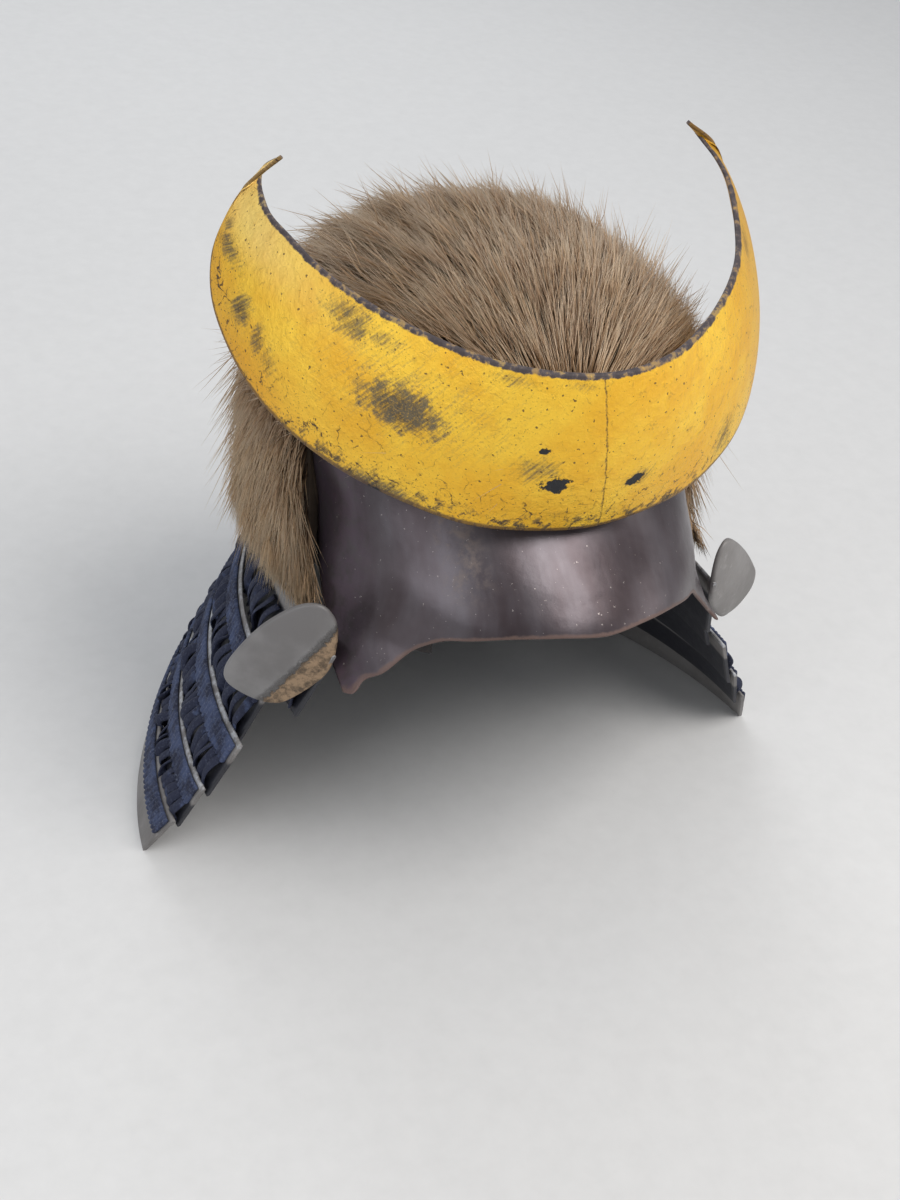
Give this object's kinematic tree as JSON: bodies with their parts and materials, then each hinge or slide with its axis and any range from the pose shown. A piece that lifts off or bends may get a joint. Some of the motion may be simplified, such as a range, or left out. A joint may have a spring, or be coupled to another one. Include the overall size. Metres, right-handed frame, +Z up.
{
  "type": "kabuto samurai helmet",
  "caption": "Japanese helmet: iron bowl covered in animal hair, deep flared brow plate, gilded crescent crest and a laced neck guard with turned-back ears.",
  "frame": {"origin": "the middle of the head opening, 16 mm under the bowl's rim, where the helmet sits on a head", "axes": "+Z up, the face looks along -Y, the wearer's left is +X; the bowl's rim and the neck guard's lames are level"},
  "size_m": [0.3786, 0.35, 0.369],
  "materials": {
    "dark_iron": "dark lacquered iron, satin",
    "brow_lacquer": "purple-brown lacquer over iron, satin, worn",
    "worn_gold": "gold leaf over dark lacquer, cracked and worn",
    "hair": "short coarse animal hair",
    "grey_lacquer": "worn grey lacquer over rawhide, satin",
    "navy_cord": "flat braided silk lacing, faded"
  },
  "bodies": {
    "root": {"bowl": "dark_iron", "waist_band": "dark_iron", "brow_plate": "brow_lacquer", "inner_tab": "dark_iron", "crest_post": "dark_iron", "front_crest": "worn_gold", "fur_cover": "hair", "neck_lame_1": "grey_lacquer", "neck_lame_2": "grey_lacquer", "neck_lame_3": "grey_lacquer", "neck_lame_4": "grey_lacquer", "neck_lame_5": "grey_lacquer", "lacing_row_2": "navy_cord", "lacing_row_3": "navy_cord", "lacing_row_4": "navy_cord", "lacing_row_5": "navy_cord", "lacing_drop_1": "navy_cord", "lacing_drop_2": "navy_cord", "lacing_drop_3": "navy_cord", "lacing_drop_4": "navy_cord"}
  },
  "joints": []
}
